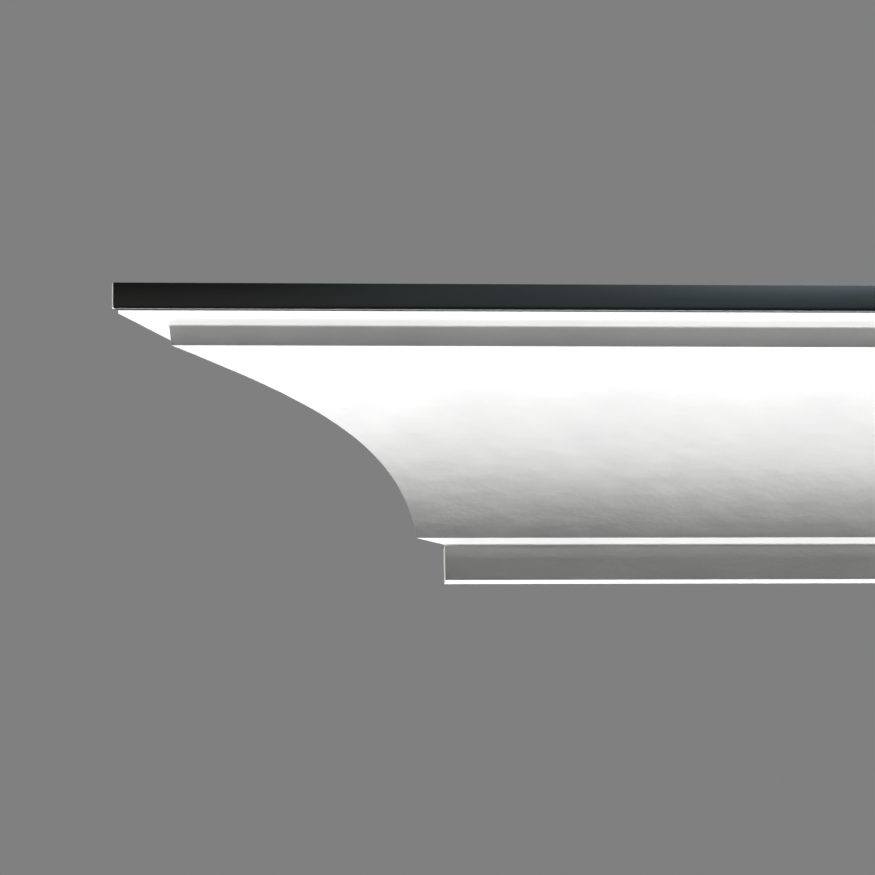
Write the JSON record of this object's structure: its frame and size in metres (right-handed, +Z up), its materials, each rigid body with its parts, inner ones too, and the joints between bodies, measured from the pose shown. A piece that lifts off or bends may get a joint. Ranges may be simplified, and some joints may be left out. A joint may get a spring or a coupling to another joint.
{
  "type": "crown moulding length",
  "caption": "White crown moulding length with a deep hollow cove, fillet, step and bottom band under a dark-faced lip, mitred at its left end and cut square at its right.",
  "frame": {"origin": "middle of the plumb land at the back that lies against the wall", "axes": "+X along the length, from the mitred end to the square end; +Y into the wall, so the moulded front faces -Y; +Z up, towards the ceiling land"},
  "size_m": [1.0001, 0.1669, 0.1],
  "materials": {
    "white_plaster": "cast gypsum plaster under matt white paint, softly eased edges, bare plaster on the cut ends and the back",
    "dark_strip": "near-black satin lacquer, cool in tone, with a pale rubbed edge at the mitre's long point"
  },
  "bodies": {
    "root": {"crown_moulding": "white_plaster", "fascia_strip": "dark_strip"}
  },
  "joints": []
}
